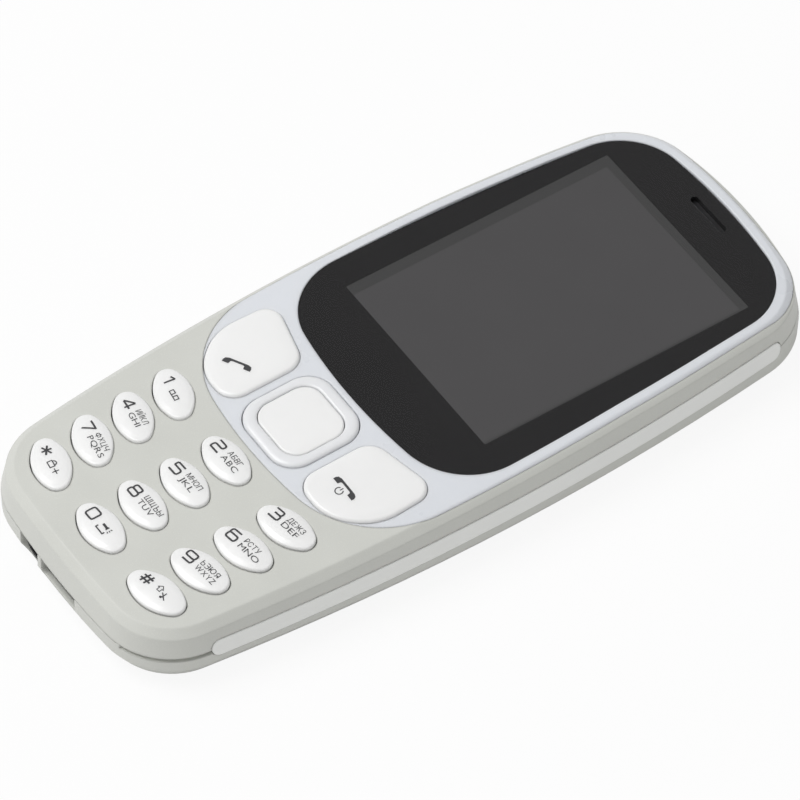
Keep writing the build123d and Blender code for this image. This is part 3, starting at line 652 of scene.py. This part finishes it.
# The words on a key with the width that each fills
letters = {
    "2": ("АБВГ", 3.1, "ABC", 3.7),
    "3": ("ДЕЖЗ", 3.5, "DEF", 3.3),
    "4": ("ИЙКЛ", 3.0, "GHI", 2.9),
    "5": ("МНОП", 3.5, "JKL", 3.1),
    "6": ("РСТУ", 3.1, "MNO", 4.1),
    "7": ("ФХЦЧ", 3.6, "PQRS", 4.4),
    "8": ("ШЩЪЫ", 4.2, "TUV", 3.4),
    "9": ("ЬЭЮЯ", 3.7, "WXYZ", 4.0),
}
sign_stroke = 0.17


def bowed(centre, radius, start, end, steps):
    """A stroke along an arc."""
    points = arc_points(centre, radius, start, end, steps)
    return ribbon([*points, on_circle(centre, radius, end)], sign_stroke, False)


def straight(*points, width=sign_stroke):
    """A stroke along straight runs between points."""
    return ribbon([Vector(point) for point in points], width, False)


def filled(*points):
    """A filled patch with its corners at points."""
    return [Vector(point) for point in points], [tuple(range(len(points)))]


def moved(part, offset, turn=0.0):
    """A sign turned about its own zero and then moved."""
    points, faces = part
    return [Matrix.Rotation(turn, 2) @ point + Vector(offset) for point in points], faces


# The small signs on the keys that carry no words
extras = {
    "1": [
        straight((-0.5, -0.6), (-0.5, 0.1), (0.25, 0.1), (0.25, -0.6)),
        straight((0.75, -0.6), (0.75, 0.1), (1.5, 0.1), (1.5, -0.6)),
        straight((-0.58, -0.6), (1.58, -0.6)),
    ],
    "star": [
        straight((-0.35, -0.62), (0.85, -0.62), (0.85, 0.18), (-0.35, 0.18), (-0.35, -0.7)),
        bowed((0.25, 0.25), 0.4, 0.0, math.pi, 10),
        straight((1.25, -0.15), (2.35, -0.15)),
        straight((1.8, -0.7), (1.8, 0.4)),
    ],
    "0": [
        straight((-0.25, -0.3), (-0.25, -0.72), (1.45, -0.72), (1.45, -0.3), width=0.22),
        filled((0.0, 0.25), (0.9, 0.25), (1.25, 0.05), (1.25, 0.85), (0.9, 0.65), (0.0, 0.65)),
        straight((1.6, 0.72), (1.85, 0.85)),
        straight((1.6, 0.42), (1.9, 0.42)),
        straight((1.6, 0.12), (1.85, -0.01)),
    ],
    "hash": [
        straight(
            (0.2, 1.2),
            (-0.35, 0.65),
            (-0.08, 0.65),
            (-0.08, 0.1),
            (0.48, 0.1),
            (0.48, 0.65),
            (0.75, 0.65),
            (0.2, 1.2),
            width=0.13,
        ),
        straight((1.5, 0.7), (1.5, -0.3)),
        straight((0.95, 0.35), (2.1, -0.45)),
        filled((1.05, -0.35), (1.3, -0.15), (1.5, -0.15), (1.5, -0.5), (1.2, -0.6)),
    ],
}

key_rows = (("1", "2", "3"), ("4", "5", "6"), ("7", "8", "9"), ("star", "0", "hash"))
key_foot = 10.35
key_rise = 0.42
key_growth = 0.1
key_rim = 0.38
key_dome = 0.5
key_dome_reach = (5.6, 3.3)
key_turn = math.radians(16.1)
digit_place = (-3.5, -0.6)
digit_unit = (0.46, 0.31)
digit_stroke = 0.31
upper_word_place = (-0.65, 0.55)
lower_word_place = (-0.65, -0.7)
word_size = 1.35
left_column_shift = (0.25, 0)


def digit_legend(name):
    """The digit of a key with its words or small signs."""
    digit = glyph(STROKES[name], digit_place, digit_unit, digit_stroke)
    if name not in letters:
        return [digit, *extras[name]]
    upper, upper_width, lower, lower_width = letters[name]
    return [
        digit,
        words(upper, upper_word_place, word_size, upper_width),
        words(lower, lower_word_place, word_size, lower_width),
    ]


def digit_key(name, column, outline):
    """A digit key's cap and legend, over the middle of its solid."""
    node = f"key_{name}"
    low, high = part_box(node)
    x, y = (low[0] + high[0]) / 2 / MM, (low[1] + high[1]) / 2 / MM
    turn = key_turn * column
    place = seat_on_crown(x, y, key_rise, turn)
    height = cap_piece(node, outline, place, key_foot, key_rim, key_dome, key_dome_reach)
    parts = digit_legend(name)
    if column < 0:
        parts = [moved(part, left_column_shift) for part in parts]
    legend_piece(node, parts, place, height, -turn / 2)


grown_oval = drawn_in(key_oval(), -key_growth)
for names in key_rows:
    for column, name in zip((-1, 0, 1), names):
        digit_key(name, column, grown_oval)


# Large keys

handset = (
    (-2.45, -0.55),
    (-2.45, -0.1),
    (-2.25, 0.3),
    (-1.7, 0.5),
    (1.7, 0.5),
    (2.25, 0.3),
    (2.45, -0.1),
    (2.45, -0.55),
    (1.3, -0.55),
    (1.2, 0.0),
    (0.95, 0.1),
    (-0.95, 0.1),
    (-1.2, 0.0),
    (-1.3, -0.55),
)
call_sign = [moved(filled(*handset), (1.07, -3.06), math.radians(27))]
end_sign = [
    moved(filled(*handset), (-1.17, -2.84)),
    bowed((-1.22, -3.95), 0.62, math.radians(125), math.radians(415), 18),
    straight((-1.22, -3.8), (-1.22, -3.15)),
]

petal_x, petal_y = 15.6, -18.4
petal_inner_x, petal_low_y = 9.16, -26.6
petal_width, petal_length = 13.1, 16.9
petal_corner_shares = ((0.0, 0.0), (0.61, 0.0), (1.01, 0.355), (0.98, 1.0), (0.0, 0.81))
petal_radii = (3.2, 8.0, 9.0, 2.8, 3.6)
petal_foot = 11.85
petal_rise = 0.25
petal_growth = 0.12
petal_rim = 0.6
petal_dome = 0.45
petal_dome_reach = (12.0, 13.0)


def petal_outline(sign):
    """The outline of the large key to one side of the ring, about the key's own place."""
    corners = [
        (petal_inner_x + x * petal_width - petal_x, petal_low_y + y * petal_length - petal_y)
        for x, y in petal_corner_shares
    ]
    outline = drawn_in(rounded(corners, petal_radii), -petal_growth)
    return outline if sign > 0 else [Vector((-point.x, point.y)) for point in reversed(outline)]


for sign, node, parts in ((-1, "call_key", call_sign), (1, "end_key", end_sign)):
    place = seat_on_crown(sign * petal_x, petal_y, petal_rise)
    outline = petal_outline(sign)
    height = cap_piece(node, outline, place, petal_foot, petal_rim, petal_dome, petal_dome_reach)
    legend_piece(node, parts, place, height)

ring_centre_y = -19.6
centre_size = (11.3, 11.0, 3.1)
centre_rise = 0.2
centre_rim = 0.28
centre_dome = 0.3
centre_dome_reach = (9.5, 9.5)
place = seat_on_crown(0, ring_centre_y, centre_rise)
outline = rounded_rectangle(*centre_size)
cap_piece("centre_key", outline, place, key_foot, centre_rim, centre_dome, centre_dome_reach)

ring_outer_size = (14.8, 15.4, 4.35)
ring_inner_size = (11.6, 11.3, 3.25)
ring_foot = 11.0
ring_rise = 0.45
# The ring's top as shares of the way in from its outer edge, with the height at each
ring_profile = (
    (0.0, -0.55),
    (0.03, -0.36),
    (0.1, -0.19),
    (0.22, -0.07),
    (0.4, 0.0),
    (0.62, 0.0),
    (0.8, -0.02),
    (0.92, -0.06),
    (0.98, -0.14),
    (1.0, -0.25),
)


def direction_ring():
    """The ring round the centre key, with rounded rims and walls down to a level foot."""
    outer, inner = rounded_rectangle(*ring_outer_size), rounded_rectangle(*ring_inner_size)
    place = seat_on_crown(0, ring_centre_y, ring_rise)
    rings = [
        [(*(a * (1 - share) + b * share), z) for a, b in zip(outer, inner)] for share, z in ring_profile
    ]
    rings = [sunk_to(ring_foot, outer, place), *rings, sunk_to(ring_foot, inner, place)]
    points, faces = lofted(rings, closed=True)
    points = placed(points, place)
    piece = mesh_piece("direction_ring_cap", points, faces, ring_white, "direction_ring_body")
    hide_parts("direction_ring")


direction_ring()


# Window and display


lens_low, lens_top = 12.28, 13.38
lens_centre = (0, 24.5)
print_inset = 0.03
film_gap = 0.02
print_z = lens_top - film_gap
film_z = print_z - film_gap
print_foot = lens_low + print_inset
slot_y = 56.6
slot_size = (8.45, 1.35, 0.67)
slot_reach_x, slot_reach_y = 6, 1
slot_steps = 12
window_size = (37.4, 49.4)
film_size = (38.2, 50.2)
window_centre = (0, 25.92)
active_size = (35.0, 47.9)
# The active area sits right of and below the window's middle, so that the darker film shows as a band on the
# left and top only: painted shade
active_centre = (0.83, 25.2)
active_lift = 0.008
film_corner, film_steps = 0.2, 3
level_tolerance = 0.01
unturned = Matrix.Identity(4)


def node_ring(node, z, centre):
    """The outer edge of a node's flat face at a height, as points in turn round a centre, slot left out."""
    spots = {
        (round(vertex.co.x / MM, 3), round(vertex.co.y / MM, 3))
        for vertex in nodes[node].data.vertices
        if abs(vertex.co.z / MM - z) < level_tolerance
    }
    outer = [
        Vector(spot) for spot in spots if abs(spot[1] - slot_y) > slot_reach_y or abs(spot[0]) > slot_reach_x
    ]
    return sorted(outer, key=lambda spot: math.atan2(spot.y - centre[1], spot.x - centre[0]))


def raised_ring(points, z):
    return [(point.x, point.y, z) for point in points]


def sheet_ring(size, centre):
    """The outline of a thin rectangular sheet round a centre."""
    return [point + Vector(centre) for point in rounded_rectangle(*size, film_corner, film_steps)]


def window_print():
    """The black print on the lens, open over the display and at the earpiece slot, with its edges."""
    print_ring = drawn_in(node_ring("display_lens", lens_top, lens_centre), print_inset)
    slot_ring = [point + Vector((0, slot_y)) for point in rounded_rectangle(*slot_size, slot_steps)]
    points, faces = sheet_faces(print_ring, [slot_ring, sheet_ring(window_size, window_centre)])
    parts = [(raised_ring(points, print_z), faces)]
    for ring in (print_ring, slot_ring):
        parts.append(lofted([raised_ring(ring, print_foot), raised_ring(ring, print_z)]))
    points, faces = gathered(parts)
    points = placed(points, unturned)
    mesh_piece("lens_print", points, faces, print_black, "chassis", smooth=False)


def film(name, size, centre, z, material):
    """A thin film under the printed window."""
    ring = sheet_ring(size, centre)
    points, faces = placed(raised_ring(ring, z), unturned), [tuple(range(len(ring)))]
    mesh_piece(name, points, faces, material, "chassis", smooth=False)


window_print()
# A darker film, wider than the window, shows past the active area as a band on the left and top: painted
# shade of the window's edge
film("painted_shade_film", film_size, window_centre, film_z, lcd_painted_shade)
film("active_area", active_size, active_centre, film_z + active_lift, lcd_grey)


# Studio, with its sizes in metres

floor_reach = 3
floor_grey = (0.9, 0.9, 0.9, 1)
floor_white_share = 0.9
plain_white = (1, 1, 1, 1)
world_light, world_seen = 0.45, 1.0
key_light_place = (-0.3, -0.4, 0.9)
key_light_width = 0.7
key_light_power = 6.3


def floor_finish():
    """A pale floor that looks nearly white to the camera and keeps some shadow."""
    material = bpy.data.materials.new("floor")
    material.use_nodes = True
    tree = material.node_tree
    tree.nodes.clear()
    output = tree.nodes.new("ShaderNodeOutputMaterial")
    diffuse = tree.nodes.new("ShaderNodeBsdfDiffuse")
    diffuse.inputs["Color"].default_value = floor_grey
    white_light = tree.nodes.new("ShaderNodeEmission")
    white_light.inputs["Color"].default_value = plain_white
    path = tree.nodes.new("ShaderNodeLightPath")
    seen = tree.nodes.new("ShaderNodeMath")
    seen.operation = "MULTIPLY"
    seen.inputs[1].default_value = floor_white_share
    link(tree, path.outputs["Is Camera Ray"], seen.inputs[0])
    mix = tree.nodes.new("ShaderNodeMixShader")
    link(tree, seen.outputs[0], mix.inputs["Fac"])
    link(tree, diffuse.outputs[0], mix.inputs[1])
    link(tree, white_light.outputs[0], mix.inputs[2])
    link(tree, mix.outputs[0], output.inputs["Surface"])
    return material


def make_floor():
    corners = [(-1, -1), (1, -1), (1, 1), (-1, 1)]
    mesh = bpy.data.meshes.new("floor")
    mesh.from_pydata([(x * floor_reach, y * floor_reach, 0) for x, y in corners], [], [(0, 1, 2, 3)])
    mesh.materials.append(floor_finish())
    floor = bpy.data.objects.new("floor", mesh)
    bpy.context.scene.collection.objects.link(floor)


def make_world():
    """An even white light that the camera sees at full white."""
    world = bpy.data.worlds.new("studio")
    world.use_nodes = True
    tree = world.node_tree
    tree.nodes.clear()
    output = tree.nodes.new("ShaderNodeOutputWorld")
    background = tree.nodes.new("ShaderNodeBackground")
    path = tree.nodes.new("ShaderNodeLightPath")
    background.inputs["Color"].default_value = plain_white
    level = tree.nodes.new("ShaderNodeMapRange")
    level.inputs["To Min"].default_value = world_light
    level.inputs["To Max"].default_value = world_seen
    link(tree, path.outputs["Is Camera Ray"], level.inputs["Value"])
    link(tree, level.outputs["Result"], background.inputs["Strength"])
    link(tree, background.outputs[0], output.inputs["Surface"])
    bpy.context.scene.world = world


def make_key_light():
    """A round soft light that faces the phone."""
    data = bpy.data.lights.new("key_light", "AREA")
    data.shape = "DISK"
    data.size = key_light_width
    data.energy = key_light_power
    lamp = bpy.data.objects.new("key_light", data)
    bpy.context.scene.collection.objects.link(lamp)
    lamp.location = key_light_place
    lamp.rotation_euler = (-Vector(key_light_place)).to_track_quat("-Z", "Y").to_euler()


make_floor()
make_world()
make_key_light()
bpy.context.scene.view_settings.view_transform = "Standard"


# Camera, at the photograph's angle; its place and lens are in millimetres, its clipping in metres

azimuth, elevation, roll = math.radians(54.235), math.radians(50.602), math.radians(1.846)
camera_place = (475.9, -344.1, 720.7)
focal_length = 272.04
sensor_width = 36.0
nearest, farthest = 0.05, 10.0
back = Vector(
    (
        math.sin(azimuth) * math.cos(elevation),
        -math.cos(azimuth) * math.cos(elevation),
        math.sin(elevation),
    )
)
right = Vector((math.cos(azimuth), math.sin(azimuth), 0))
up = back.cross(right)
turned_right = right * math.cos(roll) + up * math.sin(roll)
turned_up = up * math.cos(roll) - right * math.sin(roll)
camera_data = bpy.data.cameras.new("camera")
camera_data.lens = focal_length
camera_data.sensor_width = sensor_width
camera_data.clip_start = nearest
camera_data.clip_end = farthest
camera = bpy.data.objects.new("camera", camera_data)
bpy.context.scene.collection.objects.link(camera)
camera.matrix_world = (
    Matrix.Translation(Vector(camera_place) * MM)
    @ Matrix((turned_right, turned_up, back)).transposed().to_4x4()
)
bpy.context.scene.camera = camera
